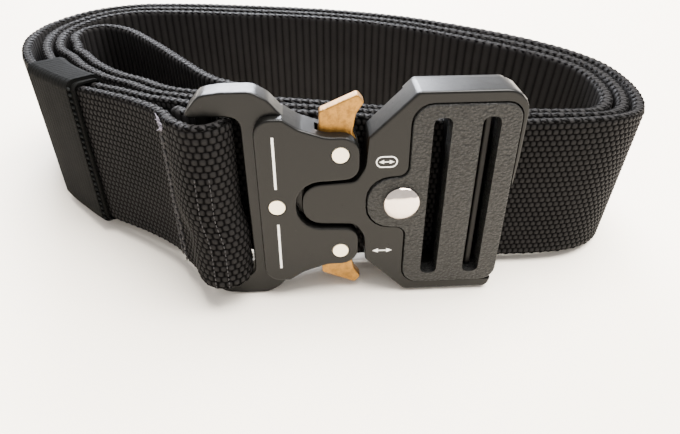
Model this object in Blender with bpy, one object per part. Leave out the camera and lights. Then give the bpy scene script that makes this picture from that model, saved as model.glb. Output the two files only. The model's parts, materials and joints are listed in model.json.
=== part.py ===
"""Tactical belt, coiled and fastened, with a two-lever quick-release buckle.

Units are metres in Blender, and millimetres in the tables below, turned by MM.
X runs along the buckle from the female half to the male half, Y away from the
buckle's face and Z up from the surface that the belt stands on.

Two sets of coordinates describe the parts:
- the buckle's own: a along the buckle, d the depth behind its face, b its height
  from the centre line. The buckle leans back by LEAN.
- the coil's plan: x and d as above, with b the height from the webbing's middle.
  coil_point() turns them into world coordinates.
"""

import math

import bmesh
import bpy
from mathutils import Matrix, Vector

MM = 0.001

# overall placing
LEAN = math.radians(4.0)
BUCKLE_HALF_HEIGHT = 25.8
BUCKLE_DEPTH = 8.8
EDGE_BEVEL = 0.7
ARM_HALF_HEIGHT = 26.05
ARM_DEPTHS = (2.1, 7.8)
ARM_BEVEL = 0.5
CENTRE_X = 5.4
CENTRE_Y = -50.5
KEEPER_LIFT = 1.75

# webbing
WEB_WIDTH = 38.0
WEB_THICK = 3.0
WEB_CHAMFER = 0.5
LAYER_PITCH = 3.5
SEWN_FLAP_ROOM = 3.8
BEND_GAP = 1.7
KEEPER_ROOM = 2.0
REAR_BAR_ROOM = 1.9

# keeper band
KEEPER_WALL = 1.3
KEEPER_GAP = 0.3
KEEPER_SPAN = (30.0, 54.0)

# buckle
CLEAR = 0.25
SLOT_HALF = 20.7
BAR_A = -28.0
BAR_D = 4.0
BAR_RADIUS = 1.8
PIVOT_B = 12.45
PIVOT_RADIUS = 1.8
BODY_RIVET_A = -14.0
BODY_RIVET_RADIUS = 1.8
CAVITY = (2.7, 6.1)
LEVER_DEPTHS = (2.95, 5.85)
TONGUE_DEPTHS = (3.1, 5.7)
POCKET_DEPTH = 4.5
INSERT_DEPTHS = (0.1, 4.2)
MALE_FRONT = 0.6
MALE_RAIL_BACK = 10.0
MALE_RAIL_B = 23.5
MALE_SLOTS = (21.15, 31.35)
MALE_SLOT_WIDTH = 3.9
MALE_RIVET_A = 13.6
MALE_RIVET_RADIUS = 4.1
MALE_RIVET_SHAFT = 2.0
REAR_BAR_A = (29.2, 33.4)
REAR_BAR_DEPTHS = (12.75, 14.2)
REAR_LOOP_B = (-23.75, 16.2)
REAR_LOOP_WALL = 1.6

# Outer face of the first turn, seen from above: x, d.
# It starts at the sewn line beside the bar and ends behind the female half.
OUTER_FACE = [
    (-38.2, 8.9), (-41.2, 12.3), (-44.8, 15.6), (-49.0, 19.0), (-54.5, 23.0),
    (-59.8, 26.6), (-64.4, 30.6), (-69.4, 35.8), (-75.8, 42.8), (-82.3, 51.7),
    (-87.2, 61.5), (-89.7, 70.0), (-90.2, 77.0), (-89.0, 84.0), (-86.0, 90.6),
    (-81.2, 96.6), (-75.0, 101.0), (-68.0, 103.6), (-59.8, 104.9), (-42.4, 103.9),
    (-24.9, 101.2), (-7.7, 98.0), (8.0, 94.0), (25.3, 87.8), (40.4, 80.2),
    (54.0, 70.7), (64.0, 61.0), (70.8, 51.0), (73.6, 42.0), (74.2, 33.0),
    (73.2, 25.5), (71.0, 19.5), (67.6, 14.9), (63.2, 11.6), (58.0, 9.8),
    (51.0, 9.15), (43.0, 9.15), (30.0, 9.15), (15.0, 9.15), (0.0, 9.15),
    (-10.0, 9.25), (-18.9, 9.5), (-24.2, 10.2), (-29.0, 11.7),
]

# Heading of the webbing as it leaves the sewn line, in plan.
SEWN_LINE_HEADING = Vector((-0.78, 0.626))

# Middle of the webbing from its sewn end round the bar to the sewn line: x, d.
BAR_WRAP = [
    (-35.2, 13.1), (-33.7, 11.5), (-31.5, 9.6), (-29.0, 8.1), (-26.6, 7.5),
    (-24.5, 6.0), (-23.6, 3.4), (-24.3, 0.6), (-26.2, -1.3), (-28.7, -1.9),
    (-31.2, -1.1), (-33.3, 1.3), (-35.2, 5.0),
]

# Middle of the webbing after its last pass along the left, x, d: the tight
# turn at the left bend and the strip that runs back to the right.
LAST_STRIP = [
    (-73.2, 66.8), (-75.4, 70.6), (-76.3, 74.6), (-75.4, 78.8), (-72.8, 81.7),
    (-69.4, 82.6), (-65.2, 81.0), (-60.2, 77.2), (-54.6, 70.6), (-47.4, 61.2),
    (-40.0, 50.2), (-33.4, 39.4), (-28.4, 32.6), (-23.0, 28.4),
]


def smooth(t):
    t = min(max(t, 0.0), 1.0)
    return t * t * (3.0 - 2.0 * t)


def mix(a, b, t):
    return a + (b - a) * t


BUCKLE_Z = ARM_HALF_HEIGHT * math.cos(LEAN) + (ARM_DEPTHS[1] - ARM_BEVEL) * math.sin(LEAN)


def coil_point(x, d, b):
    """World position of a point of the webbing, b from its middle."""
    half = WEB_WIDTH / 2
    settle = smooth((d - 12.0) / 55.0)
    lean = LEAN * (1.0 - settle)
    by_buckle = BUCKLE_Z - d * math.sin(LEAN)
    lift = KEEPER_LIFT * (1.0 - smooth((d - 55.0) / 40.0))
    raised = mix(by_buckle, half + 0.02 + lift, settle)
    # the right side sags until its lower edge is almost on the ground
    sagged = half * math.cos(lean) + 0.05 + 2.35 * (1.0 - smooth((d - 9.0) / 12.0))
    height = mix(raised, min(raised, sagged), smooth((x + 25.0) / 65.0))
    # round the bar it is pressed up under the arm, and bulges forward and right at its foot
    wrap = smooth((9.0 - d) / 6.0) * smooth(-20.0 - x) * smooth((x + 40.0) / 5.0)
    d += 0.06 * b * wrap * smooth((3.0 - d) / 3.0)
    x += 1.4 * wrap * smooth(-b / 9.0)
    b += (0.045 * b + 0.55) * wrap
    # the right end lies a little further out towards its top, and the back leans outwards
    x += (3.6 + 1.6 * b / half) * smooth((x - 35.0) / 38.0)
    y = d * math.cos(LEAN) + b * math.sin(lean)
    y += 1.1 * (1.0 + b / half) * smooth((d - 55.0) / 35.0)
    z = height + b * math.cos(lean)
    return Vector(((x + CENTRE_X) * MM, (y + CENTRE_Y) * MM, z * MM))


def spline(rows, step=0.5):
    """Catmull-Rom curve through the rows, as points about step apart."""
    pts = [Vector(row) for row in rows]
    pts = [2 * pts[0] - pts[1]] + pts + [2 * pts[-1] - pts[-2]]
    out = []
    for p0, p1, p2, p3 in zip(pts, pts[1:], pts[2:], pts[3:]):
        count = max(2, round((p2 - p1).length / step))
        for i in range(count):
            t = i / count
            out.append(0.5 * (2 * p1 + (p2 - p0) * t + (2 * p0 - 5 * p1 + 4 * p2 - p3) * t ** 2
                              + (3 * p1 - p0 - 3 * p2 + p3) * t ** 3))
    out.append(pts[-2])
    return out


def tangents(path):
    ends = [path[0]] + path + [path[-1]]
    return [(b - a).normalized() for a, b in zip(ends, ends[2:])]


def lengths(path):
    out = [0.0]
    for a, b in zip(path, path[1:]):
        out.append(out[-1] + (b - a).length)
    return out


def even(path, step=0.5):
    """The same path with points at equal steps."""
    along = lengths(path)
    count = round(along[-1] / step)
    out = []
    k = 0
    for i in range(count + 1):
        s = along[-1] * i / count
        while k < len(path) - 2 and along[k + 1] < s:
            k += 1
        out.append(path[k].lerp(path[k + 1], (s - along[k]) / max(along[k + 1] - along[k], 1e-9)))
    return out


def relax(path, middle, reach=16.0, rounds=60):
    """Even out the bends within reach of one point of the path."""
    near = min(range(len(path)), key=lambda i: (path[i] - middle).length)
    span = range(max(1, near - 40), min(len(path) - 1, near + 41))
    for _ in range(rounds):
        old = list(path)
        for i in span:
            weight = 0.5 * smooth(1.4 * (1.0 - 0.5 * abs(i - near) / reach))
            path[i] = old[i].lerp((old[i - 1] + old[i + 1]) / 2, weight)
    return path


def bump(s, start, end, ease):
    """1 between two lengths along the turn, easing to 0 outside them."""
    return smooth((s - start) / ease + 1.0) * smooth((end - s) / ease + 1.0)


def layer_offset(turn, s, total):
    """How far inside the first turn a later turn lies, s along the first turn."""
    if turn == 0:
        return 0.0
    away = turn * LAYER_PITCH
    away += SEWN_FLAP_ROOM * (1.0 - smooth(s / 12.0))
    away += BEND_GAP * bump(s, 66.0, 96.0, 30.0)
    away += 0.35 * turn * bump(s, 170.0, 240.0, 50.0)
    away += REAR_BAR_ROOM * bump(s, total - 76.0, total - 60.0, 22.0)
    if turn >= 2:
        away += KEEPER_ROOM * bump(s, KEEPER_SPAN[0] - 3, KEEPER_SPAN[1] + 3, 14.0)
    return away


def first_turn():
    """Middle of the first turn, closed onto the start of the second."""
    first, second = Vector(OUTER_FACE[0]), Vector(OUTER_FACE[1])
    side = Vector((SEWN_LINE_HEADING.y, -SEWN_LINE_HEADING.x))
    step_in = side * (LAYER_PITCH + SEWN_FLAP_ROOM)
    before = second - SEWN_LINE_HEADING * 8.0
    landing = first + step_in
    outer = spline([tuple(before)] + OUTER_FACE + [tuple(landing), tuple(second + step_in)])
    sides = [Vector((t.y, -t.x)) for t in tangents(outer)]
    middle = [p + n * WEB_THICK / 2 for p, n in zip(outer, sides)]
    start = min(range(len(outer) // 2), key=lambda i: (outer[i] - first).length)
    last = min(range(len(outer) // 2, len(outer)), key=lambda i: (outer[i] - landing).length)
    return middle[start:last]


def webbing_path():
    """Middle of the whole webbing, from its sewn end to its free end."""
    turn = first_turn()
    sides = [Vector((t.y, -t.x)) for t in tangents(turn)]
    along = lengths(turn)
    total = along[-1]
    path = spline(BAR_WRAP + [tuple(turn[0]), tuple(turn[5])])
    path = [p for p in path if (p - turn[0]).length > 0.4 or p.y < turn[0].y]
    path = path[:path.index(min(path, key=lambda p: (p - turn[0]).length))]
    joins = []
    for number in range(3):
        for p, n, s in zip(turn, sides, along):
            path.append(p + n * layer_offset(number, s, total))
        joins.append(path[-1])
    for p, n, s in zip(turn, sides, along):
        inner = p + n * layer_offset(3, s, total)
        if inner.y > LAST_STRIP[0][1] - 5.0:
            break
        path.append(inner)
    strip = spline([tuple(path[-8]), tuple(path[-1])] + LAST_STRIP)
    start = strip.index(min(strip, key=lambda p: (p - path[-1]).length))
    path = even(path + strip[start + 1:])
    for join in joins:
        path = relax(path, join)
    return path


def thin_out(path, longest=5.4, shortest=1.1, bend=0.17):
    """Fewer points where the path is straight, and more where it bends."""
    dirs = tangents(path)
    kept = [0]
    length = 0.0
    turned = 0.0
    for i in range(1, len(path) - 1):
        length += (path[i] - path[i - 1]).length
        turned += dirs[i].angle(dirs[i - 1], 0.0)
        if length >= longest or (turned > bend and length >= shortest):
            kept.append(i)
            length = turned = 0.0
    return [path[i] for i in kept] + [path[-1]]


def material(name, colour, roughness, metallic):
    mat = bpy.data.materials.new(name)
    mat.use_nodes = True
    bsdf = mat.node_tree.nodes["Principled BSDF"]
    bsdf.inputs["Base Color"].default_value = (*colour, 1.0)
    bsdf.inputs["Roughness"].default_value = roughness
    bsdf.inputs["Metallic"].default_value = metallic
    mat.diffuse_color = (*colour, 1.0)
    return mat


def new_object(name, bm, mat):
    bmesh.ops.recalc_face_normals(bm, faces=bm.faces)
    mesh = bpy.data.meshes.new(name)
    bm.to_mesh(mesh)
    bm.free()
    mesh.materials.append(mat)
    obj = bpy.data.objects.new(name, mesh)
    bpy.context.scene.collection.objects.link(obj)
    return obj


def sweep(name, sections, mat):
    """A solid through a row of sections of equal point counts, closed at its ends."""
    bm = bmesh.new()
    rings = [[bm.verts.new(p) for p in section] for section in sections]
    for low, high in zip(rings, rings[1:]):
        for i in range(len(low)):
            j = (i + 1) % len(low)
            bm.faces.new((low[i], low[j], high[j], high[i]))
    bm.faces.new(rings[0])
    bm.faces.new(reversed(rings[-1]))
    return new_object(name, bm, mat)


def build_webbing(mat):
    path = thin_out(webbing_path())
    half = WEB_WIDTH / 2
    thin = WEB_THICK / 2
    c = WEB_CHAMFER
    outline = [(-thin, c - half), (c - thin, -half), (thin - c, -half), (thin, c - half),
               (thin, half - c), (thin - c, half), (c - thin, half), (-thin, half - c)]
    sections = []
    for p, t in zip(path, tangents(path)):
        side = Vector((t.y, -t.x))
        sections.append([coil_point(*(p + side * off), b) for off, b in outline])
    return sweep("belt_webbing", sections, mat)


def build_keeper(mat):
    """A band round the two outer layers, following their bend."""
    turn = first_turn()
    along = lengths(turn)
    rows = [i for i, s in enumerate(along) if KEEPER_SPAN[0] <= s <= KEEPER_SPAN[1]]
    rows = rows[::6] + [rows[-1]]
    dirs = tangents(turn)
    thin = WEB_THICK / 2 + KEEPER_GAP
    half = WEB_WIDTH / 2 + KEEPER_GAP
    wall = KEEPER_WALL
    bm = bmesh.new()
    rings = []
    for i in rows:
        side = Vector((dirs[i].y, -dirs[i].x))
        inward = layer_offset(1, along[i], along[-1])
        near, far = -thin, inward + thin
        c = 0.6
        outer = [(near - wall, c - half - wall), (near - wall + c, -half - wall),
                 (far + wall - c, -half - wall), (far + wall, c - half - wall),
                 (far + wall, half + wall - c), (far + wall - c, half + wall),
                 (near - wall + c, half + wall), (near - wall, half + wall - c)]
        inner = [(near, c - half), (near + c, -half), (far - c, -half), (far, c - half),
                 (far, half - c), (far - c, half), (near + c, half), (near, half - c)]
        rings.append([[bm.verts.new(coil_point(*(turn[i] + side * off), b)) for off, b in loop]
                      for loop in (outer, inner)])
    for low, high in zip(rings, rings[1:]):
        for loop in (0, 1):
            for i in range(8):
                j = (i + 1) % 8
                bm.faces.new((low[loop][i], low[loop][j], high[loop][j], high[loop][i]))
    for ring in (rings[0], rings[-1]):
        for i in range(8):
            j = (i + 1) % 8
            bm.faces.new((ring[0][i], ring[0][j], ring[1][j], ring[1][i]))
    return new_object("belt_keeper", bm, mat)


def rounded(corners, arc_step=math.radians(18.0)):
    """Outline with each corner (a, b, radius) turned into an arc."""
    out = []
    count = len(corners)
    for i, (a, b, radius) in enumerate(corners):
        corner = Vector((a, b))
        back = (Vector(corners[i - 1][:2]) - corner).normalized()
        ahead = (Vector(corners[(i + 1) % count][:2]) - corner).normalized()
        if radius <= 0:
            out.append(corner)
            continue
        opening = back.angle(ahead)
        reach = radius / math.tan(opening / 2)
        centre = corner + (back + ahead).normalized() * (radius / math.sin(opening / 2))
        start = corner + back * reach - centre
        sweep_angle = math.pi - opening
        turn = 1.0 if back.y * ahead.x - back.x * ahead.y > 0 else -1.0
        steps = max(2, round(sweep_angle / arc_step))
        for k in range(steps + 1):
            out.append(centre + Matrix.Rotation(turn * sweep_angle * k / steps, 2) @ start)
    return [p for i, p in enumerate(out) if (p - out[i - 1]).length > 0.02]


def mirrored(half):
    """A whole outline from its upper half: corners (a, b, radius), left to right."""
    return half + [(a, -b, r) for a, b, r in reversed(half)]


def prism(name, outline, d0, d1, mat, front=0.0, back=0.0, parent=None):
    """A plate of the buckle with the outline in (a, b), between two depths."""
    bm = bmesh.new()
    face = bm.faces.new([bm.verts.new((p.x * MM, d0 * MM, p.y * MM)) for p in outline])
    grown = bmesh.ops.extrude_face_region(bm, geom=[face])
    moved = [v for v in grown["geom"] if isinstance(v, bmesh.types.BMVert)]
    bmesh.ops.translate(bm, verts=moved, vec=(0, (d1 - d0) * MM, 0))
    for depth, size in ((d0, front), (d1, back)):
        if size <= 0:
            continue
        rim = [e for e in bm.edges if all(abs(v.co.y - depth * MM) < 1e-6 for v in e.verts)]
        bmesh.ops.bevel(bm, geom=rim, offset=size * MM, segments=2, profile=0.5,
                        affect="EDGES", clamp_overlap=True)
    obj = new_object(name, bm, mat)
    obj.parent = parent
    return obj


def disc(name, a, b, d0, d1, radius, mat, sides=28, parent=None):
    outline = [Vector((a + radius * math.cos(2 * math.pi * k / sides),
                       b + radius * math.sin(2 * math.pi * k / sides))) for k in range(sides)]
    return prism(name, outline, d0, d1, mat, parent=parent)


def boolean(obj, tool, operation):
    """Join or cut with another solid, which is then hidden."""
    mod = obj.modifiers.new(tool.name, "BOOLEAN")
    mod.operation = operation
    mod.solver = "EXACT"
    mod.object = tool
    tool.hide_render = True
    tool.hide_viewport = False
    tool.display_type = "WIRE"


def apply_booleans(obj):
    """Evaluate the joins and cuts, so that the helper solids can go."""
    tools = [m.object for m in obj.modifiers if m.type == "BOOLEAN"]
    graph = bpy.context.evaluated_depsgraph_get()
    mesh = bpy.data.meshes.new_from_object(obj.evaluated_get(graph))
    obj.modifiers.clear()
    obj.data = mesh
    for tool in tools:
        bpy.data.objects.remove(tool)


def build_female(mat, frame):
    arms = rounded(mirrored([
        (-20.4, SLOT_HALF, 2.4), (-31.7, SLOT_HALF, 0.8), (-31.0, 22.3, 2.6),
        (-28.3, 25.5, 3.4), (-24.0, ARM_HALF_HEIGHT, 8.0), (-17.6, ARM_HALF_HEIGHT, 4.0),
        (-14.6, 24.2, 4.0), (-11.2, 20.1, 0.0), (-10.0, 18.6, 0.0)]))
    body = prism("female_body", rounded(mirrored([
        (-17.9, 20.9, 3.6), (-11.9, 20.9, 1.2), (-8.6, 18.6, 6.0), (-3.0, 16.6, 6.0),
        (4.15, 16.55, 4.0), (4.15, 6.5, 3.2), (-2.0, 6.1, 2.0), (-9.7, 5.9, 5.6)])),
        0.0, BUCKLE_DEPTH, mat, front=EDGE_BEVEL, back=EDGE_BEVEL, parent=frame)
    boolean(body, prism("arms", arms, *ARM_DEPTHS, mat, front=ARM_BEVEL, back=ARM_BEVEL,
                        parent=frame), "UNION")
    bar = bpy.data.objects.new("bar", bpy.data.meshes.new("bar"))
    bm = bmesh.new()
    bmesh.ops.create_cone(bm, cap_ends=True, segments=16, radius1=BAR_RADIUS * MM,
                          radius2=BAR_RADIUS * MM, depth=2 * (SLOT_HALF + 1.8) * MM)
    bm.to_mesh(bar.data)
    bm.free()
    bar.location = (BAR_A * MM, BAR_D * MM, 0)
    bar.parent = frame
    bpy.context.scene.collection.objects.link(bar)
    boolean(body, bar, "UNION")
    cavity = rounded(mirrored([
        (-11.3, 8.2, 0.0), (-9.95, 8.2, 0.0), (-9.95, 12.3, 0.0), (-6.3, 13.6, 0.0),
        (-5.3, 16.2, 0.0), (-5.3, 24.0, 0.0), (12.0, 24.0, 0.0)]))
    boolean(body, prism("lever_cavity", cavity, *CAVITY, mat, parent=frame), "DIFFERENCE")
    for side in (1, -1):
        boolean(body, disc("pivot_hole", 0, side * PIVOT_B, -1, 10, PIVOT_RADIUS + CLEAR, mat,
                           parent=frame), "DIFFERENCE")
    boolean(body, disc("rivet_hole", BODY_RIVET_A, 0, -1, 10, BODY_RIVET_RADIUS + CLEAR, mat,
                       parent=frame), "DIFFERENCE")
    return body


def build_lever(name, side, mat, frame):
    """A lever of the buckle, upper with side 1 and lower with side -1."""
    outline = rounded([
        (-4.4, 18.2, 0.0), (-4.3, 21.1, 0.8), (3.7, 24.7, 0.7), (5.1, 22.9, 0.7),
        (3.4, 20.3, 2.5), (2.7, 16.0, 0.0), (3.6, 13.8, 0.0), (3.6, 9.2, 2.4),
        (-1.2, 8.4, 2.0), (-6.0, 6.2, 0.0), (-8.6, 6.2, 0.5), (-8.6, 9.3, 0.8),
        (-4.9, 12.6, 1.0)])
    outline = [Vector((p.x, side * (p.y - PIVOT_B))) for p in outline]
    pivot = bpy.data.objects.new(name + "_pivot", None)
    bpy.context.scene.collection.objects.link(pivot)
    pivot.parent = frame
    pivot.location = (0, 0, side * PIVOT_B * MM)
    lever = prism(name, outline, *LEVER_DEPTHS, mat, front=0.45, back=0.45, parent=pivot)
    boolean(lever, disc("lever_hole", 0, 0, 0, 9, PIVOT_RADIUS + CLEAR, mat, parent=pivot),
            "DIFFERENCE")
    return lever


def insert_outline():
    return rounded(mirrored([(5.9, 6.1, 5.6), (14.9, 6.6, 2.4), (14.9, 23.1, 4.2),
                             (37.7, 23.1, 3.6)]))


def pocket_outline():
    """Room for the grained plate, open at the lower part of the right side."""
    g = 0.3
    left = [(5.9 - g, 6.1 + g, 5.6), (14.9 - g, 6.6 + g, 2.4 - g), (14.9 - g, 23.1 + g, 4.2 + g)]
    return rounded([*left, (37.7 + g, 23.1 + g, 3.8), (37.7 + g, 4.0, 3.0), (42.0, -4.0, 0.0),
                    (42.0, -23.1 - g, 0.0), *((a, -b, r) for a, b, r in reversed(left))])


def slot_outline(a, grow=0.0):
    w = MALE_SLOT_WIDTH / 2 + grow
    h = 20.3 + grow
    return rounded([(a - w, -h, 1.5), (a - w, h, 1.5), (a + w, h, 1.5), (a + w, -h, 1.5)])


def build_male(mat, frame):
    height = BUCKLE_HALF_HEIGHT
    left = [(-8.5, 5.0, 4.4), (3.4, 5.7, 2.0), (5.4, 9.0, 4.0), (5.9, 16.0, 1.0),
            (15.7, height, 1.6)]
    outline = [*left, (39.1, height, 5.2), (38.9, 10.0, 12.0), (38.0, -4.0, 6.0),
               (37.9, -21.0, 3.0), (36.6, -height, 1.6),
               *((a, -b, r) for a, b, r in reversed(left))]
    body = prism("male_frame", rounded(outline), MALE_FRONT, BUCKLE_DEPTH, mat,
                 front=EDGE_BEVEL, back=EDGE_BEVEL, parent=frame)
    for side in (1, -1):
        edge = side * (height - 0.15)
        rail = rounded([(13.8, side * MALE_RAIL_B, 0.0), (15.9, edge, 1.2),
                        (35.5, edge, 2.0), (36.4, side * MALE_RAIL_B, 0.0)])
        boolean(body, prism("rail", rail, BUCKLE_DEPTH - 3.0, MALE_RAIL_BACK, mat,
                            back=0.4, parent=frame), "UNION")
    tongue = rounded(mirrored([(-11.0, 6.0, 0.0), (-9.9, 6.9, 0.0), (-9.4, 6.9, 0.0),
                               (-9.4, 3.2, 0.0), (-4.0, 3.2, 0.0)]))
    boolean(body, prism("tongue", tongue, *TONGUE_DEPTHS, mat, parent=frame), "UNION")
    a0, a1 = REAR_BAR_A
    d0, d1 = REAR_BAR_DEPTHS
    low, high = REAR_LOOP_B
    wall = REAR_LOOP_WALL
    loop = [Vector(p) for p in ((a0, low - wall), (a0, high + wall), (a1, high + wall),
                                (a1, low - wall))]
    gap = [Vector(p) for p in ((a0 - 1, low), (a0 - 1, high), (a1 + 1, high), (a1 + 1, low))]
    rear = prism("rear_bar", loop, BUCKLE_DEPTH - 1.6, d1, mat, back=0.3, parent=frame)
    boolean(rear, prism("rear_gap", gap, BUCKLE_DEPTH - 3, d0, mat, parent=frame), "DIFFERENCE")
    apply_booleans(rear)
    boolean(body, rear, "UNION")
    boolean(body, prism("pocket", pocket_outline(), -2, POCKET_DEPTH, mat, parent=frame),
            "DIFFERENCE")
    for a in MALE_SLOTS:
        boolean(body, prism("frame_slot", slot_outline(a, 0.3), 0, 10, mat, parent=frame),
                "DIFFERENCE")
    boolean(body, disc("rivet_hole", MALE_RIVET_A, 0, 0, 10, MALE_RIVET_SHAFT + CLEAR, mat,
                       parent=frame), "DIFFERENCE")
    return body


def build_insert(mat, frame):
    plate = prism("male_insert", insert_outline(), *INSERT_DEPTHS, mat, front=0.4,
                  parent=frame)
    for a in MALE_SLOTS:
        boolean(plate, prism("insert_slot", slot_outline(a), -1, 6, mat, parent=frame),
                "DIFFERENCE")
    boolean(plate, disc("rivet_hole", MALE_RIVET_A, 0, -1, 6, MALE_RIVET_SHAFT + CLEAR, mat,
                        parent=frame), "DIFFERENCE")
    return plate


def build_male_rivet(mat, frame):
    """Domed head on a shaft, turned about its axis."""
    crown = 1.3
    base = -0.2
    profile = [(0.0, 8.5), (MALE_RIVET_SHAFT, 8.5), (MALE_RIVET_SHAFT, base),
               (MALE_RIVET_RADIUS, base)]
    for k in range(1, 5):
        angle = k * math.pi / 8
        profile.append((MALE_RIVET_RADIUS * math.cos(angle), base - crown * math.sin(angle)))
    bm = bmesh.new()
    verts = [bm.verts.new((r * MM, d * MM, 0)) for r, d in profile]
    edges = [bm.edges.new(pair) for pair in zip(verts, verts[1:])]
    bmesh.ops.spin(bm, geom=verts + edges, cent=(0, 0, 0), axis=(0, 1, 0),
                   angle=2 * math.pi, steps=28)
    bmesh.ops.remove_doubles(bm, verts=bm.verts, dist=1e-6)
    rivet = new_object("male_rivet", bm, mat)
    rivet.location = (MALE_RIVET_A * MM, 0, 0)
    rivet.parent = frame
    return rivet


def build_adjuster_bar(mat, frame):
    """Ridge of steel that shows through the outer slot of the male half."""
    half = 19.9
    outline = [Vector((MALE_SLOTS[1] + a, b)) for a, b in
               ((-0.75, -half), (-0.75, half), (0.75, half), (0.75, -half))]
    return prism("adjuster_bar", outline, 2.6, 7.8, mat, front=0.35, parent=frame)


def main():
    for obj in list(bpy.data.objects):
        bpy.data.objects.remove(obj)
    black = material("buckle_black", (0.045, 0.043, 0.041), 0.42, 0.6)
    grain = material("grained_black", (0.03, 0.029, 0.028), 0.65, 0.2)
    brass = material("lever_brass", (0.52, 0.33, 0.14), 0.38, 0.9)
    steel = material("rivet_steel", (0.75, 0.72, 0.68), 0.25, 1.0)
    web = material("webbing_black", (0.022, 0.021, 0.022), 0.85, 0.0)
    elastic = material("keeper_elastic", (0.03, 0.034, 0.033), 0.8, 0.0)

    frame = bpy.data.objects.new("buckle_frame", None)
    bpy.context.scene.collection.objects.link(frame)
    frame.location = (CENTRE_X * MM, CENTRE_Y * MM, BUCKLE_Z * MM)
    frame.rotation_euler = (-LEAN, 0, 0)

    build_webbing(web)
    build_keeper(elastic)
    solids = [build_female(black, frame), build_male(black, frame), build_insert(grain, frame),
              build_lever("lever_top", 1, brass, frame),
              build_lever("lever_bottom", -1, brass, frame)]
    for solid in solids:
        apply_booleans(solid)
    for name, side in (("pivot_rivet_top", 1), ("pivot_rivet_bottom", -1)):
        disc(name, 0, side * PIVOT_B, 0.0, BUCKLE_DEPTH, PIVOT_RADIUS, steel, parent=frame)
    disc("body_rivet", BODY_RIVET_A, 0, 0.0, BUCKLE_DEPTH, BODY_RIVET_RADIUS, steel, parent=frame)
    build_male_rivet(steel, frame)
    build_adjuster_bar(steel, frame)


main()
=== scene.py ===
"""Looks of the coiled tactical belt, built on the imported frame.

Lengths are millimetres, turned into Blender's metres by MM. X runs along the buckle
from its female half to its male half, Y away from its face and Z up from the table.
"""

import json
import math

import bmesh
import bpy
import numpy as np
from mathutils import Matrix, Vector

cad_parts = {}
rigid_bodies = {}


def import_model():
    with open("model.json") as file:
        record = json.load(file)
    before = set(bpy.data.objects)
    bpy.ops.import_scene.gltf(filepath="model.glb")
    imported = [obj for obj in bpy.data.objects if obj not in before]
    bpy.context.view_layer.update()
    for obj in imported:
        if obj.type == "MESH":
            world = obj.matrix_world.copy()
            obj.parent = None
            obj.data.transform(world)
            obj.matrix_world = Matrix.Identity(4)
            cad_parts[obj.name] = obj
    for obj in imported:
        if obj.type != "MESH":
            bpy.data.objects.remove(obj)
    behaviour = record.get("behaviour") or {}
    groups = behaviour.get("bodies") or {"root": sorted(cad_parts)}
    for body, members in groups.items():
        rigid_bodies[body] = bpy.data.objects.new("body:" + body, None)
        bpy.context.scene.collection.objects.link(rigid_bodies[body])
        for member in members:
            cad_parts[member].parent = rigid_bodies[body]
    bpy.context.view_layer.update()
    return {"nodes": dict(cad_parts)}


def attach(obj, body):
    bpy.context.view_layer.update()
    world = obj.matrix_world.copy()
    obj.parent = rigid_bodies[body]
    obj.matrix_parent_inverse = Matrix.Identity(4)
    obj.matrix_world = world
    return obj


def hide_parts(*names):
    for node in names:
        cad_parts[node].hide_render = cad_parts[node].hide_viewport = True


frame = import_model()
MM = 0.001

# Camera
# A phone held close above the buckle and looking down at it, with nothing blurred. Its place
# was worked out from the buckle's parallel edges and corners.

IMAGE = (680, 434)
FOCAL = 572.0
CAMERA_PLACE = Vector((-1.329, -151.405, 102.360)) * MM
CAMERA_PITCH = math.radians(38.0)
CAMERA_YAW = math.radians(3.741)
CAMERA_ROLL = math.radians(0.233)
SENSOR = 36.0
NEAREST_SEEN = 0.005

lens = bpy.data.cameras.new("camera")
lens.sensor_width = SENSOR
lens.lens = FOCAL / IMAGE[0] * SENSOR
lens.clip_start = NEAREST_SEEN
aim = Vector((math.sin(CAMERA_YAW) * math.cos(CAMERA_PITCH),
              math.cos(CAMERA_YAW) * math.cos(CAMERA_PITCH), -math.sin(CAMERA_PITCH)))
level = Vector((math.cos(CAMERA_YAW), -math.sin(CAMERA_YAW), 0.0))
rise = level.cross(aim)
camera_right = level * math.cos(CAMERA_ROLL) + rise * math.sin(CAMERA_ROLL)
camera_up = rise * math.cos(CAMERA_ROLL) - level * math.sin(CAMERA_ROLL)
camera = bpy.data.objects.new("camera", lens)
camera.matrix_world = Matrix.Translation(CAMERA_PLACE) @ Matrix(
    (camera_right, camera_up, -aim)).transposed().to_4x4()
bpy.context.scene.collection.objects.link(camera)
bpy.context.scene.camera = camera

# Webbing
# One strap of black nylon, 38 mm wide and 3 mm thick. Its outer face is woven in small bricks
# and its inner face in upright ribs; the end is sewn round the bar of the female half, and the
# rest is wound in a little over three turns, with its free end inside the coil.

LEAN = math.radians(4.0)
CENTRE_X = 5.4
CENTRE_Y = -50.5
BUCKLE_Z = 26.05 * math.cos(LEAN) + 7.3 * math.sin(LEAN)
KEEPER_LIFT = 1.75
WEB_WIDTH = 38.0
WEB_THICK = 3.0
PATH_STEP = 0.5

# How far apart the layers lie, and where along the first turn they lie further apart: behind the
# sewn flap, in both bends of the coil, beside the male half's rear loop, told from the turn's
# end, and under the keeper. The third number is the run in which they move apart.
LAYER_PITCH = 3.5
FLAP_ROOM, FLAP_END = 3.8, 12.0
LEFT_ROOM, LEFT_BEND = 1.7, (66.0, 96.0, 30.0)
RIGHT_ROOM, RIGHT_BEND = 0.35, (170.0, 240.0, 50.0)
BAR_ROOM, BAR_SPAN = 1.9, (76.0, 60.0, 22.0)
KEEPER_ROOM, KEEPER_SPAN = 2.0, (30.0, 54.0)
KEEPER_MARGIN, KEEPER_RUN = 3.0, 14.0

# How the layers stand. Each pair says where a change starts and ends, as a depth behind the
# face, a place along x or a height on the webbing. Backwards, the buckle's lean and the
# keeper's lift die out.
UPRIGHT = (12.0, 67.0)
LIFT_FADE = (55.0, 95.0)
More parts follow.
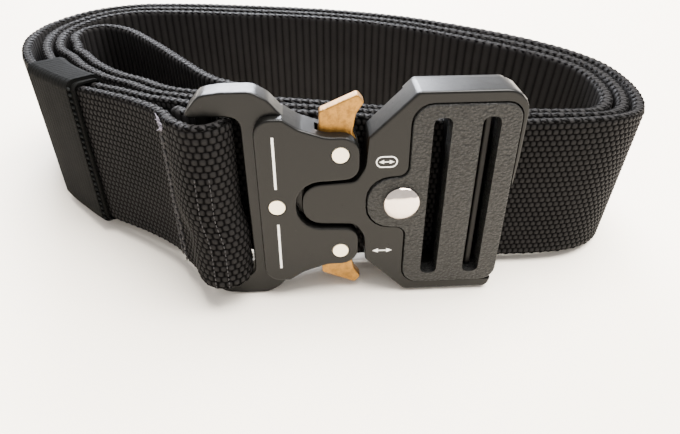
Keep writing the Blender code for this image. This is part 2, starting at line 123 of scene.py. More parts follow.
# To the right of the bar the webbing comes down onto the table.
TABLE_GAP, SAG_GAP = 0.02, 0.05
FRONT_LIFT, FRONT_FADE = 2.35, (9.0, 21.0)
SAG_SPAN = (-25.0, 40.0)
# Where it is folded round the bar it is askew, a little taller and higher.
WRAP_DEPTH, WRAP_RIGHT, WRAP_LEFT = (9.0, 3.0), (-20.0, -21.0), (-40.0, -35.0)
WRAP_TILT, WRAP_TILT_DEPTH = 0.06, (3.0, 0.0)
WRAP_SHIFT, WRAP_LOW = 1.4, (0.0, -9.0)
WRAP_STRETCH, WRAP_RISE = 0.045, 0.55
# Its right end flares outwards, most at its top, and its back leans outwards.
FLARE, FLARE_TOP, FLARE_SPAN = 3.6, 1.6, (35.0, 73.0)
BACK_LEAN, BACK_SPAN = 1.1, (55.0, 90.0)

# Outer face of the first turn in plan: x, and depth behind the buckle's face.
OUTER_FACE = [
    (-38.2, 8.9), (-41.2, 12.3), (-44.8, 15.6), (-49.0, 19.0), (-54.5, 23.0),
    (-59.8, 26.6), (-64.4, 30.6), (-69.4, 35.8), (-75.8, 42.8), (-82.3, 51.7),
    (-87.2, 61.5), (-89.7, 70.0), (-90.2, 77.0), (-89.0, 84.0), (-86.0, 90.6),
    (-81.2, 96.6), (-75.0, 101.0), (-68.0, 103.6), (-59.8, 104.9), (-42.4, 103.9),
    (-24.9, 101.2), (-7.7, 98.0), (8.0, 94.0), (25.3, 87.8), (40.4, 80.2),
    (54.0, 70.7), (64.0, 61.0), (70.8, 51.0), (73.6, 42.0), (74.2, 33.0),
    (73.2, 25.5), (71.0, 19.5), (67.6, 14.9), (63.2, 11.6), (58.0, 9.8),
    (51.0, 9.15), (43.0, 9.15), (30.0, 9.15), (15.0, 9.15), (0.0, 9.15),
    (-10.0, 9.25), (-18.9, 9.5), (-24.2, 10.2), (-29.0, 11.7)]
SEWN_LINE_HEADING = np.array((-0.78, 0.626))
# Middle of the webbing from its sewn end round the bar to the sewn line.
BAR_WRAP = [
    (-35.2, 13.1), (-33.7, 11.5), (-31.5, 9.6), (-29.0, 8.1), (-26.6, 7.5),
    (-24.5, 6.0), (-23.6, 3.4), (-24.3, 0.6), (-26.2, -1.3), (-28.7, -1.9),
    (-31.2, -1.1), (-33.3, 1.3), (-35.2, 5.0)]
# Middle of the webbing after its last pass along the left: the tight turn and the free end.
LAST_STRIP = [
    (-73.2, 66.8), (-75.4, 70.6), (-76.3, 74.6), (-75.4, 78.8), (-72.8, 81.7),
    (-69.4, 82.6), (-65.2, 81.0), (-60.2, 77.2), (-54.6, 70.6), (-47.4, 61.2),
    (-40.0, 50.2), (-33.4, 39.4), (-28.4, 32.6), (-23.0, 28.4)]


def smooth(t):
    t = np.clip(t, 0.0, 1.0)
    return t * t * (3.0 - 2.0 * t)


def ease(value, start, end):
    """0 before start and 1 beyond end, with a smooth passage between them."""
    return smooth((value - start) / (end - start))


def coil_point(x, d, b):
    """World position, in metres, of points of the webbing, b above its middle."""
    half = WEB_WIDTH / 2
    settle = ease(d, *UPRIGHT)
    lean = LEAN * (1.0 - settle)
    by_buckle = BUCKLE_Z - d * math.sin(LEAN)
    lift = KEEPER_LIFT * (1.0 - ease(d, *LIFT_FADE))
    raised = by_buckle + (half + TABLE_GAP + lift - by_buckle) * settle
    sagged = half * np.cos(lean) + SAG_GAP + FRONT_LIFT * (1.0 - ease(d, *FRONT_FADE))
    height = raised + (np.minimum(raised, sagged) - raised) * ease(x, *SAG_SPAN)
    wrap = ease(d, *WRAP_DEPTH) * ease(x, *WRAP_RIGHT) * ease(x, *WRAP_LEFT)
    d = d + WRAP_TILT * b * wrap * ease(d, *WRAP_TILT_DEPTH)
    x = x + WRAP_SHIFT * wrap * ease(b, *WRAP_LOW)
    b = b + (WRAP_STRETCH * b + WRAP_RISE) * wrap
    x = x + (FLARE + FLARE_TOP * b / half) * ease(x, *FLARE_SPAN)
    y = d * math.cos(LEAN) + b * np.sin(lean)
    y = y + BACK_LEAN * (1.0 + b / half) * ease(d, *BACK_SPAN)
    z = height + b * np.cos(lean)
    return np.stack(np.broadcast_arrays(x + CENTRE_X, y + CENTRE_Y, z), axis=-1) * MM


def curve_through(rows):
    """Smooth curve through the rows, in points about PATH_STEP apart."""
    pts = np.array(rows, float)
    pts = np.vstack([2 * pts[0] - pts[1], pts, 2 * pts[-1] - pts[-2]])
    out = []
    for p0, p1, p2, p3 in zip(pts, pts[1:], pts[2:], pts[3:]):
        count = max(2, round(float(np.linalg.norm(p2 - p1)) / PATH_STEP))
        t = (np.arange(count) / count)[:, None]
        out.append(0.5 * (2 * p1 + (p2 - p0) * t + (2 * p0 - 5 * p1 + 4 * p2 - p3) * t ** 2
                          + (3 * p1 - p0 - 3 * p2 + p3) * t ** 3))
    return np.vstack([*out, pts[-2]])


def directions(path):
    ends = np.vstack([path[0], path, path[-1]])
    along = ends[2:] - ends[:-2]
    return along / np.linalg.norm(along, axis=1)[:, None]


def inward(path):
    """Unit vectors across the webbing, from its outer face to its inner one."""
    along = directions(path)
    return np.stack([along[:, 1], -along[:, 0]], axis=1)


def lengths(path):
    return np.concatenate([[0.0], np.cumsum(np.linalg.norm(np.diff(path, axis=0), axis=1))])


def even(path, step):
    """The same path with points at equal steps."""
    s = lengths(path)
    at = np.linspace(0.0, s[-1], round(s[-1] / step) + 1)
    return np.stack([np.interp(at, s, path[:, 0]), np.interp(at, s, path[:, 1])], axis=1)


def nearest(path, point):
    return int(np.argmin(np.linalg.norm(path - point, axis=1)))


RELAX_POINTS, RELAX_REACH, RELAX_FIRM, RELAX_ROUNDS = 40, 16.0, 1.4, 60


def relax(path, middle):
    """Even out the bends within RELAX_REACH of one point of the path."""
    near = nearest(path, middle)
    span = np.arange(max(1, near - RELAX_POINTS), min(len(path) - 1, near + RELAX_POINTS + 1))
    away = PATH_STEP * np.abs(span - near)
    weight = 0.5 * smooth(RELAX_FIRM * (1.0 - away / RELAX_REACH))[:, None]
    for _ in range(RELAX_ROUNDS):
        path[span] += ((path[span - 1] + path[span + 1]) / 2 - path[span]) * weight
    return path


def bump_between(s, start, end, run):
    return smooth((s - start) / run + 1.0) * smooth((end - s) / run + 1.0)


def layer_offset(turn, s, total):
    """How far inside the first turn a later turn lies, s along the first turn."""
    if turn == 0:
        return np.zeros_like(s)
    away = turn * LAYER_PITCH + FLAP_ROOM * (1.0 - smooth(s / FLAP_END))
    away = away + LEFT_ROOM * bump_between(s, *LEFT_BEND)
    away = away + RIGHT_ROOM * turn * bump_between(s, *RIGHT_BEND)
    before, until, run = BAR_SPAN
    away = away + BAR_ROOM * bump_between(s, total - before, total - until, run)
    if turn >= 2:
        away = away + KEEPER_ROOM * bump_between(s, KEEPER_SPAN[0] - KEEPER_MARGIN,
                                                 KEEPER_SPAN[1] + KEEPER_MARGIN, KEEPER_RUN)
    return away


LEAD_IN = 8.0
LEAD_POINTS = 8
LEAD_OUT = 5
JOIN_ROOM = 5.0
TURNS = 3


def first_turn():
    """Middle of the first turn, closed onto the start of the second."""
    first, second = np.array(OUTER_FACE[0]), np.array(OUTER_FACE[1])
    across = np.array((SEWN_LINE_HEADING[1], -SEWN_LINE_HEADING[0]))
    step_in = across * (LAYER_PITCH + FLAP_ROOM)
    landing = first + step_in
    outer = curve_through([second - SEWN_LINE_HEADING * LEAD_IN, *OUTER_FACE, landing,
                           second + step_in])
    middle = outer + inward(outer) * WEB_THICK / 2
    half = len(outer) // 2
    return middle[nearest(outer[:half], first):half + nearest(outer[half:], landing)]


def webbing_path():
    """Middle of the whole webbing, from its sewn end to its free end."""
    turn = first_turn()
    s = lengths(turn)
    wrap = curve_through([*BAR_WRAP, turn[0], turn[LEAD_OUT]])
    wrap = wrap[:nearest(wrap, turn[0])]
    *turns, inmost = [turn + inward(turn) * layer_offset(k, s, s[-1])[:, None]
                      for k in range(TURNS + 1)]
    last_pass = inmost[:int(np.argmax(inmost[:, 1] > LAST_STRIP[0][1] - JOIN_ROOM))]
    strip = curve_through([last_pass[-LEAD_POINTS], last_pass[-1], *LAST_STRIP])
    strip = strip[nearest(strip, last_pass[-1]) + 1:]
    path = even(np.vstack([wrap, *turns, last_pass, strip]), PATH_STEP)
    for passed in turns:
        path = relax(path, passed[-1])
    return path


RIB_PITCH = 2.36
BRICK_LENGTH = 1.35
BRICK_ROWS = 26
BRICK_HEIGHT = 1.4
FACE_HALF = BRICK_ROWS * BRICK_HEIGHT / 2
FACE_OFF = 1.40
EDGE_ROUND = 0.75
EDGE_ARC = np.radians((-54.0, -18.0, 18.0, 54.0))
PLAIN_COLUMNS = 9
FINE_COLUMNS = 2 * BRICK_ROWS + 1
BRICK_RELIEF, BRICK_RISE, BRICK_SWING, BRICK_GROOVE = 0.15, 0.3, 0.7, -0.9
RIB_RELIEF, RIB_COLUMN = 0.09, 0.03
# The first points of the path, among which the sewn line lies.
WRAP_POINTS = 400

strap_path = even(webbing_path(), PATH_STEP)
strap_side = inward(strap_path)
strap_s = np.arange(len(strap_path)) * PATH_STEP
outer_turn = first_turn()
turn_length = lengths(outer_turn)[-1]
wrap_length = strap_s[nearest(strap_path[:WRAP_POINTS], outer_turn[0])]


def on_strap(s, off, b):
    """World places of points s along the strap, off from its middle, b above it."""
    s, off, b = np.broadcast_arrays(np.asarray(s, float), off, b)
    plan = [np.interp(s, strap_s, strap_path[:, k]) + off * np.interp(s, strap_s, strap_side[:, k])
            for k in (0, 1)]
    return coil_point(plan[0], plan[1], b)


def fitted(name, mesh, body, replaced=None):
    """The piece made of a mesh, riding on its body, with the part it replaces hidden."""
    piece = bpy.data.objects.new(name, mesh)
    bpy.context.scene.collection.objects.link(piece)
    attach(piece, body)
    if replaced:
        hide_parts(replaced)
    return piece


def strap_piece(name, start, stop, step, fine_outer, fine_inner):
    """Stretch of the strap between two lengths, its seen faces with the weave in relief."""
    s = np.linspace(start, stop, round((stop - start) / step) + 1)
    outer_b = np.linspace(-FACE_HALF, FACE_HALF, FINE_COLUMNS if fine_outer else PLAIN_COLUMNS)
    inner_b = np.linspace(FACE_HALF, -FACE_HALF, FINE_COLUMNS if fine_inner else PLAIN_COLUMNS)
    off = np.concatenate([np.full(len(outer_b), -FACE_OFF), FACE_OFF * np.sin(EDGE_ARC),
                          np.full(len(inner_b), FACE_OFF), -FACE_OFF * np.sin(EDGE_ARC)])
    b = np.concatenate([outer_b, FACE_HALF + EDGE_ROUND * np.cos(EDGE_ARC), inner_b,
                        -FACE_HALF - EDGE_ROUND * np.cos(EDGE_ARC)])
    off = np.tile(off, (len(s), 1))
    if fine_outer:
        column = np.arange(len(outer_b))
        turn = 2 * math.pi * (s[:, None] / BRICK_LENGTH + 0.5 * (column // 2))
        brick = np.where(column % 2, BRICK_RISE + BRICK_SWING * np.cos(turn), BRICK_GROOVE)
        off[:, :len(outer_b)] -= BRICK_RELIEF * brick
    if fine_inner:
        column = np.arange(len(inner_b))
        first = len(outer_b) + len(EDGE_ARC)
        rib = RIB_RELIEF * np.cos(2 * math.pi * s[:, None] / RIB_PITCH)
        off[:, first:first + len(inner_b)] += rib + np.where(column % 2, RIB_COLUMN, -RIB_COLUMN)
    world = on_strap(s[:, None], off, b[None, :])
    count = len(b)
    index = np.arange(len(s) * count).reshape(len(s), count)
    low, high = index[:-1], index[1:]
    quads = np.stack([low, np.roll(low, -1, 1), np.roll(high, -1, 1), high], axis=-1)
    quads = quads.reshape(-1, 4)
    mesh = bpy.data.meshes.new(name)
    mesh.from_pydata(world.reshape(-1, 3).tolist(), [],
                     [*quads.tolist(), index[0][::-1].tolist(), index[-1].tolist()])
    mesh.polygons.foreach_set("use_smooth", [True] * len(quads) + [False, False])
    place = np.stack(np.broadcast_arrays(s[:, None], b[None, :], off / FACE_OFF), axis=-1)
    mesh.attributes.new("strap", "FLOAT_VECTOR", "POINT").data.foreach_set("vector", place.ravel())
    return fitted(name, mesh, "belt", "belt_webbing")


first_end = round((wrap_length + turn_length) / BRICK_LENGTH) * BRICK_LENGTH
last_start = round((wrap_length + TURNS * turn_length) / RIB_PITCH) * RIB_PITCH
strap_pieces = [
    strap_piece("webbing_first_turn", 0.0, first_end, BRICK_LENGTH / 2, True, False),
    strap_piece("webbing_inner_turns", first_end, last_start, RIB_PITCH / 2, False, True),
    strap_piece("webbing_free_end", last_start, strap_s[-1], BRICK_LENGTH / 4, True, True)]


class Value:
    """Something that varies over a surface; arithmetic on it adds Math nodes."""

    def __init__(self, finish, socket):
        self.finish = finish
        self.socket = socket

    def math(self, operation, *others):
        return self.finish.node("ShaderNodeMath", dict(enumerate((self, *others))),
                                operation=operation)

    def __add__(self, other):
        return self.math("ADD", other)

    def __sub__(self, other):
        return self.math("SUBTRACT", other)

    def __mul__(self, other):
        return self.math("MULTIPLY", other)

    def __truediv__(self, other):
        return self.math("DIVIDE", other)

    def __rsub__(self, other):
        return self.finish.node("ShaderNodeMath", {0: other, 1: self}, operation="SUBTRACT")

    __radd__ = __add__
    __rmul__ = __mul__


class Finish:
    """One material, with its nodes."""

    def __init__(self, name, **constants):
        self.material = bpy.data.materials.new(name)
        self.material.use_nodes = True
        self.tree = self.material.node_tree
        self.shader = self.tree.nodes["Principled BSDF"]
        self.set(**constants)

    def feed(self, socket, value):
        if isinstance(value, Value):
            self.tree.links.new(value.socket, socket)
        else:
            socket.default_value = value

    def node(self, kind, inputs=None, output=0, **settings):
        made = self.tree.nodes.new(kind)
        for name, value in settings.items():
            setattr(made, name, value)
        for key, value in (inputs or {}).items():
            self.feed(made.inputs[key], value)
        return Value(self, made.outputs[output])

    def objects(self):
        return self.node("ShaderNodeTexCoord", output="Object")

    def attribute(self, name, part):
        whole = self.node("ShaderNodeAttribute", output="Vector", attribute_name=name)
        return self.node("ShaderNodeSeparateXYZ", {0: whole}, output=part)

    def noise(self, scale, vector=None, detail=2.0, roughness=0.5):
        return self.node("ShaderNodeTexNoise", {"Vector": vector or self.objects(), "Scale": scale,
                                                "Detail": detail, "Roughness": roughness})

    def between(self, low, high, factor):
        """Colour between two colours."""
        return self.node("ShaderNodeMix", {0: factor, 6: (*low, 1.0), 7: (*high, 1.0)},
                         output=2, data_type="RGBA")

    def spread(self, value, low, high, to_low=0.0, to_high=1.0):
        return self.node("ShaderNodeMapRange", {"Value": value, "From Min": low, "From Max": high,
                                                "To Min": to_low, "To Max": to_high},
                         interpolation_type="SMOOTHSTEP")

    def set(self, **values):
        for socket, value in values.items():
            self.feed(self.shader.inputs[socket.replace("_", " ")], value)

    def raise_surface(self, height, distance, strength=1.0):
        self.set(Normal=self.node("ShaderNodeBump", {"Height": height, "Distance": distance,
                                                     "Strength": strength}))


# Black nylon yarn: bricks outside and upright ribs inside. Its colour is painted lighter on the
# tops of the bricks and ribs and painted with shade in the gaps between them, over the yarn's own
# fibres and blotches.
YARN_GAP_SHADE, YARN_LIT_TOP = (0.0008, 0.0008, 0.0008), (0.0150, 0.0143, 0.0145)
YARN_SHINE = 0.022
YARN_DEPTH = 0.35
FIBRES_ALONG, FIBRES_ACROSS = 1.2, 9.0
BLOTCH_SCALE = 90.0

nylon = Finish("webbing_nylon", Specular_IOR_Level=YARN_SHINE)
along, across, side = (nylon.attribute("strap", part) for part in "XYZ")
row = (across + FACE_HALF) / BRICK_HEIGHT
odd = row.math("FLOOR").math("MODULO", 2.0) * 0.5
brick_high = (row.math("FRACT") * math.pi).math("SINE")
brick_long = ((along / BRICK_LENGTH + odd + 0.5).math("FRACT") * math.pi).math("SINE")
brick_top = brick_high.math("POWER", 0.3) * brick_long.math("POWER", 0.55)
rib_top = ((along / RIB_PITCH + 0.5).math("FRACT") * math.pi).math("SINE") * 0.45 + 0.5
outside = nylon.spread(side, 0.2, -0.2)
top = rib_top + (brick_top - rib_top) * outside
lie = nylon.node("ShaderNodeCombineXYZ",
                 {0: along * FIBRES_ALONG, 1: across * FIBRES_ACROSS, 2: side})
fibres = nylon.noise(1.0, lie, detail=3.0)
blotch = nylon.noise(BLOTCH_SCALE, detail=3.0)
# Painted shade: the colour darkens from the tops of the bricks and ribs into the gaps between
# them; fibres and blotches are the yarn's own uneven tone.
shade = nylon.spread(top, 0.25, 1.0) * 0.8 + (fibres - 0.5) * 0.5 + (blotch - 0.5) * 0.3
nylon.set(Base_Color=nylon.between(YARN_GAP_SHADE, YARN_LIT_TOP, shade),
          Roughness=nylon.spread(top, 0.4, 1.0, 0.9, 0.48))
nylon.raise_surface(top * 0.8 + fibres * 0.25, YARN_DEPTH * MM, 0.9)
for piece in strap_pieces:
    piece.data.materials.append(nylon.material)

# Selvage threads
# Along both edges of the webbing the weft yarn turns back over the outermost warp. It shows as
# two rows of plump slanted loops, one to each side of the edge.

LOOP_PITCH = 2.15
LOOP_SIZE = (2.7, 1.15, 1.0)
LOOP_OFF = 0.72
LOOP_HEIGHT = 18.5
LOOP_SLANT = 0.32
LOOP_DARK, LOOP_BRIGHT = (0.0001, 0.0001, 0.0001), (0.0024, 0.0022, 0.0023)
LOOP_ROUGHNESS = 0.35
THREAD_SHINE = 0.01
THREAD_GRAIN = 1900.0
THREAD_DEPTH = 0.15


def bead_tree():
    """Small plump stitches on points, turned to each point's heading and up vectors."""
    tree = bpy.data.node_groups.new("thread_stitches", "GeometryNodeTree")
    face = tree.interface
    sockets = {}
    for label, kind in (("Points", "Geometry"), ("Length", "Float"), ("Width", "Float"),
                        ("Height", "Float"), ("Unevenness", "Float"), ("Seed", "Int"),
                        ("Thread", "Material")):
        sockets[label] = face.new_socket(label, in_out="INPUT",
                                         socket_type="NodeSocket" + kind).identifier
    face.new_socket("Stitches", in_out="OUTPUT", socket_type="NodeSocketGeometry")

    def node(kind, inputs=None, **settings):
        made = tree.nodes.new(kind)
        for name, value in settings.items():
            setattr(made, name, value)
        for key, value in (inputs or {}).items():
            if isinstance(value, bpy.types.NodeSocket):
                tree.links.new(value, made.inputs[key])
            else:
                made.inputs[key].default_value = value
        return made.outputs

    given = node("NodeGroupInput")
    ball = node("GeometryNodeMeshUVSphere", {"Segments": 6, "Rings": 4, "Radius": 0.5})
    size = node("ShaderNodeCombineXYZ", {0: given["Length"], 1: given["Width"],
                                         2: given["Height"]})
    stitch = node("GeometryNodeTransform", {"Geometry": ball["Mesh"], "Scale": size[0]})
    turn = None
    for axis, label in (("X", "heading"), ("Z", "up")):
        wanted = node("GeometryNodeInputNamedAttribute", {"Name": label},
                      data_type="FLOAT_VECTOR")
        inputs = {"Vector": wanted[0]} if turn is None else {"Vector": wanted[0], "Rotation": turn}
        turn = node("FunctionNodeAlignRotationToVector", inputs, axis=axis,
                    pivot_axis="AUTO" if turn is None else "X")[0]
    less = node("ShaderNodeMath", {0: 1.0, 1: given["Unevenness"]}, operation="SUBTRACT")
    swell = node("FunctionNodeRandomValue", {2: less[0], 3: 1.0, "Seed": given["Seed"]},
                 data_type="FLOAT")
    placed = node("GeometryNodeInstanceOnPoints", {
        "Points": given["Points"], "Instance": stitch[0], "Rotation": turn, "Scale": swell[1]})
    whole = node("GeometryNodeRealizeInstances", {0: placed[0]})
    soft = node("GeometryNodeSetShadeSmooth", {0: whole[0], "Shade Smooth": True})
    dyed = node("GeometryNodeSetMaterial", {0: soft[0], "Material": given["Thread"]})
    node("NodeGroupOutput", {0: dyed[0]})
    return tree, sockets


stitch_tree, stitch_sockets = bead_tree()


def stitches(name, places, headings, ups, size, finish, unevenness=0.15, seed=1):
    """A stitch at each place, lying along its heading with its top to its up vector."""
    mesh = bpy.data.meshes.new(name)
    mesh.from_pydata(np.asarray(places, float).tolist(), [], [])
    for label, vectors in (("heading", headings), ("up", ups)):
        layer = mesh.attributes.new(label, "FLOAT_VECTOR", "POINT")
        layer.data.foreach_set("vector", np.asarray(vectors, float).ravel())
    points = bpy.data.objects.new(name + "_points", mesh)
    bpy.context.scene.collection.objects.link(points)
    modifier = points.modifiers.new("stitches", "NODES")
    modifier.node_group = stitch_tree
    for label, value in (("Length", size[0] * MM), ("Width", size[1] * MM),
                         ("Height", size[2] * MM), ("Unevenness", unevenness), ("Seed", seed),
                         ("Thread", finish.material)):
        modifier[stitch_sockets[label]] = value
    seen = points.evaluated_get(bpy.context.evaluated_depsgraph_get())
    made = bpy.data.meshes.new_from_object(seen)
    bpy.data.objects.remove(points)
    fitted(name, made, "belt")


def strap_axes(s, off, b, nudge=0.3):
    """Unit vectors along the strap, through it and up it."""
    axes = []
    for ds, dn, db in nudge * np.eye(3):
        step = on_strap(s + ds, off + dn, b + db) - on_strap(s - ds, off - dn, b - db)
        axes.append(step / np.linalg.norm(step, axis=-1, keepdims=True))
    return axes


def thread_finish(name, dark, bright, roughness=0.38):
    thread = Finish(name, Specular_IOR_Level=THREAD_SHINE)
    ply = thread.noise(THREAD_GRAIN)
    thread.set(Base_Color=thread.between(dark, bright, ply),
               Roughness=thread.spread(ply, 0.2, 0.8, roughness - 0.08, roughness + 0.1))
    thread.raise_surface(ply, THREAD_DEPTH * MM, 0.6)
    return thread


selvage = thread_finish("selvage_yarn", LOOP_DARK, LOOP_BRIGHT, LOOP_ROUGHNESS)
loop_s = np.arange(LOOP_PITCH, strap_s[-1] - LOOP_PITCH, LOOP_PITCH)
for name, sign in (("selvage_top", 1.0), ("selvage_bottom", -1.0)):
    s = np.concatenate([loop_s, loop_s + LOOP_PITCH / 2])
    off = np.concatenate([np.full(len(loop_s), -LOOP_OFF), np.full(len(loop_s), LOOP_OFF)])
    b = np.full(len(s), sign * LOOP_HEIGHT)
    along, through, up = strap_axes(s, off, b)
    stitches(name, on_strap(s, off, b), along + through * LOOP_SLANT, up, LOOP_SIZE, selvage)

# Sewn line
# The end of the strap is folded round the bar and sewn to the next layer with two close rows
# of zigzag in grey thread, its cut ends frayed at the top; two fine rows run nearer the bar.

SEAM_S = wrap_length - 2.2
SEAM_OFF = -1.62
SEAM_DARK, SEAM_BRIGHT = (0.010, 0.0098, 0.010), (0.065, 0.063, 0.065)
ZIGZAG_LOW, ZIGZAG_HIGH, ZIGZAG_PITCH = -17.6, 18.3, 1.5
ZIGZAG_HALF_GAP = 1.2
ZIGZAG_STAGGER = 0.15
ZIGZAG_SLANT = 0.75
ZIGZAG_SIZE = (2.2, 0.85, 0.7)
FINE_ROWS = (SEAM_S - 14.3, SEAM_S - 12.0)
FINE_COUNT = 26
FINE_ENDS = (-18.0, 8.0)
FINE_SIZE = (0.9, 0.28, 0.3)
FRAY_DARK, FRAY_BRIGHT = (0.03, 0.028, 0.036), (0.30, 0.28, 0.34)
FRAY_COUNT, FRAY_SEED = 34, 7
FRAY_SPAN, FRAY_HEIGHTS, FRAY_DROOP = (-3.0, 1.6), (17.4, 19.0), 0.35
FRAY_LIE = np.array((1.4, 1.0, 0.3))
FRAY_SIZE, FRAY_PROUD, FRAY_UNEVEN = (2.4, 0.30, 0.28), 0.1, 0.4

seam_thread = thread_finish("seam_thread", SEAM_DARK, SEAM_BRIGHT)
zig_b = np.arange(ZIGZAG_LOW, ZIGZAG_HIGH, ZIGZAG_PITCH)
slope = np.tile(np.where(np.arange(len(zig_b)) % 2, 1.0, -1.0), 2)
zig_rows = (SEAM_S - ZIGZAG_HALF_GAP, SEAM_S + ZIGZAG_HALF_GAP + ZIGZAG_STAGGER)
zig_s = np.repeat(zig_rows, len(zig_b))
zig_b = np.tile(zig_b, 2)
along, through, up = strap_axes(zig_s, SEAM_OFF, zig_b)
stitches("seam_zigzag", on_strap(zig_s, SEAM_OFF, zig_b),
         up + along * ZIGZAG_SLANT * slope[:, None], -through, ZIGZAG_SIZE, seam_thread)

fine_s = np.repeat(FINE_ROWS, FINE_COUNT)
fine_b = np.tile(np.linspace(*FINE_ENDS, FINE_COUNT), 2)
along, through, up = strap_axes(fine_s, SEAM_OFF, fine_b)
stitches("seam_fine_rows", on_strap(fine_s, SEAM_OFF, fine_b), up, -through, FINE_SIZE,
         seam_thread)

tuft = thread_finish("frayed_thread", FRAY_DARK, FRAY_BRIGHT)
rng = np.random.default_rng(FRAY_SEED)
fray_s = SEAM_S + rng.uniform(*FRAY_SPAN, FRAY_COUNT)
fray_b = rng.uniform(*FRAY_HEIGHTS, FRAY_COUNT) - FRAY_DROOP * np.abs(fray_s - SEAM_S)
along, through, up = strap_axes(fray_s, SEAM_OFF, fray_b)
lie = rng.uniform(-1.0, 1.0, (FRAY_COUNT, 3)) * FRAY_LIE
stitches("frayed_ends", on_strap(fray_s, SEAM_OFF - FRAY_PROUD, fray_b),
         along * lie[:, :1] + up * lie[:, 1:2] + through * lie[:, 2:], -through, FRAY_SIZE, tuft,
         FRAY_UNEVEN, seed=3)

# Keeper band
# A loop of ribbed black elastic round the two outer layers, overlocked in small teeth along its
# front end, with a smooth hem showing beyond the teeth.

KEEPER_WALL = 1.3
KEEPER_GAP = 0.3
OUTER_CORNER, INNER_CORNER, CORNER_STEPS = 2.4, 1.1, 6
INNER_EASE = 0.05
GATHER_DEPTH = 0.12
BAND_STEP, BAND_START = 0.5, 1.6
HEM_STEP, HEM_END, HEM_THINNER = 0.4, 1.7, 0.75
ELASTIC_DARK, ELASTIC_BRIGHT = (0.0007, 0.0008, 0.0008), (0.0042, 0.0043, 0.0041)
CORD_PITCH, GATHER_PITCH, KNIT_DEPTH = 0.85, 0.62, 0.14
TEETH_DARK, TEETH_BRIGHT = (0.003, 0.0033, 0.0033), (0.016, 0.017, 0.017)
TOOTH_LOW, TOOTH_HIGH, TOOTH_PITCH = -18.6, 19.0, 1.55
TOOTH_SIZE, TOOTH_OFF, TOOTH_SLANT = (2.0, 0.95, 0.8), -2.6, 0.35

keeper_s = lengths(outer_turn)
keeper_side = inward(outer_turn)


def band_loop(wall, gap, corner):
    """Closed outline round two layers: side -1 or 1 (outer or inner), how far out, height."""
    half = WEB_WIDTH / 2 + gap + wall
    reach = WEB_THICK / 2 + gap + wall
    points = []
    for sign_off, sign_b, start in ((-1, -1, 180), (1, -1, 270), (1, 1, 0), (-1, 1, 90)):
        for k in range(CORNER_STEPS + 1):
            angle = math.radians(start + 90 * k / CORNER_STEPS)
            points.append((sign_off, sign_off * (reach - corner) + corner * math.cos(angle),
                           sign_b * (half - corner) + corner * math.sin(angle)))
    return points


def keeper_point(s, sign, out, b):
    """World place out from the middle of one layer, the outer for sign -1, s along the turn."""
    middle, side = (np.array([np.interp(s, keeper_s, rows[:, k]) for k in (0, 1)])
                    for rows in (outer_turn, keeper_side))
    shift = float(layer_offset(1, np.array(s), keeper_s[-1])) if sign > 0 else 0.0
    x, d = middle + side * (out + shift)
    return coil_point(x, d, b)


def band_mesh(name, stations, walls):
    """A band as thick as walls says, with an outer and an inner loop at each station."""
    bm = bmesh.new()
    rings, place = [], []
    for s, wall in zip(stations, walls):
        rings.append([])
        for thick, gap, corner in ((wall, KEEPER_GAP, OUTER_CORNER),
                                   (0.0, KEEPER_GAP - INNER_EASE, INNER_CORNER)):
            outline = band_loop(thick, gap, corner)
            rings[-1].append([bm.verts.new(keeper_point(s, *point)) for point in outline])
            place += [(s, b + sign * out, 0.0) for sign, out, b in outline]
    count = len(rings[0][0])
    for i in range(count):
        j = (i + 1) % count
        for low, high in zip(rings, rings[1:]):
            for a, b in zip(low, high):
                bm.faces.new((a[i], a[j], b[j], b[i])).smooth = True
        for outer, inner in (rings[0], rings[-1]):
            bm.faces.new((outer[i], outer[j], inner[j], inner[i]))
    bmesh.ops.recalc_face_normals(bm, faces=bm.faces)
    mesh = bpy.data.meshes.new(name)
    bm.to_mesh(mesh)
    bm.free()
    layer = mesh.attributes.new("band", "FLOAT_VECTOR", "POINT")
    layer.data.foreach_set("vector", np.ravel(place))
    return fitted(name, mesh, "belt", "belt_keeper")


band_s = np.arange(KEEPER_SPAN[0] + BAND_START, KEEPER_SPAN[1] + 0.01, BAND_STEP)
keeper_band = band_mesh("keeper_band", band_s,
                        KEEPER_WALL - GATHER_DEPTH * (np.arange(len(band_s)) % 2))
hem_s = np.arange(KEEPER_SPAN[0], KEEPER_SPAN[0] + HEM_END, HEM_STEP)
keeper_hem = band_mesh("keeper_hem", hem_s, np.full(len(hem_s), KEEPER_WALL - HEM_THINNER))

elastic = Finish("keeper_elastic", Roughness=0.8, Specular_IOR_Level=0.04)
mottle = elastic.noise(260.0, detail=4.0)
waves = [(elastic.attribute("band", part) * (2 * math.pi / pitch)).math("SINE")
         for part, pitch in (("Y", CORD_PITCH), ("X", GATHER_PITCH))]
cords, gathers = (wave * 0.5 + 0.5 for wave in waves)
# Mostly a random mottle of the elastic's own tone, with painted shade: lighter on the tops of the
# cords and gathers, darker in the grooves between them.
elastic.set(Base_Color=elastic.between(ELASTIC_DARK, ELASTIC_BRIGHT,
                                       mottle * 0.7 + cords * 0.25 + gathers * 0.15))
elastic.raise_surface(cords * 0.5 + gathers * 0.6 + mottle * 0.5, KNIT_DEPTH * MM, 0.7)
for piece in (keeper_band, keeper_hem):
    piece.data.materials.append(elastic.material)

tooth_b = np.arange(TOOTH_LOW, TOOTH_HIGH, TOOTH_PITCH)
tooth_s = np.full(len(tooth_b), wrap_length + KEEPER_SPAN[0] + HEM_END)
along, through, up = strap_axes(tooth_s, TOOTH_OFF, tooth_b)
overlock = thread_finish("overlock_thread", TEETH_DARK, TEETH_BRIGHT, 0.5)
stitches("keeper_teeth", on_strap(tooth_s, TOOTH_OFF, tooth_b), along + up * TOOTH_SLANT,
         -through, TOOTH_SIZE, overlock)

# Buckle halves
# Two cast alloy halves with a satin black coating, their edges rounded by tumbling. The male
# half carries a grained plate that is let into its face, and a steel bar in its outer slot.

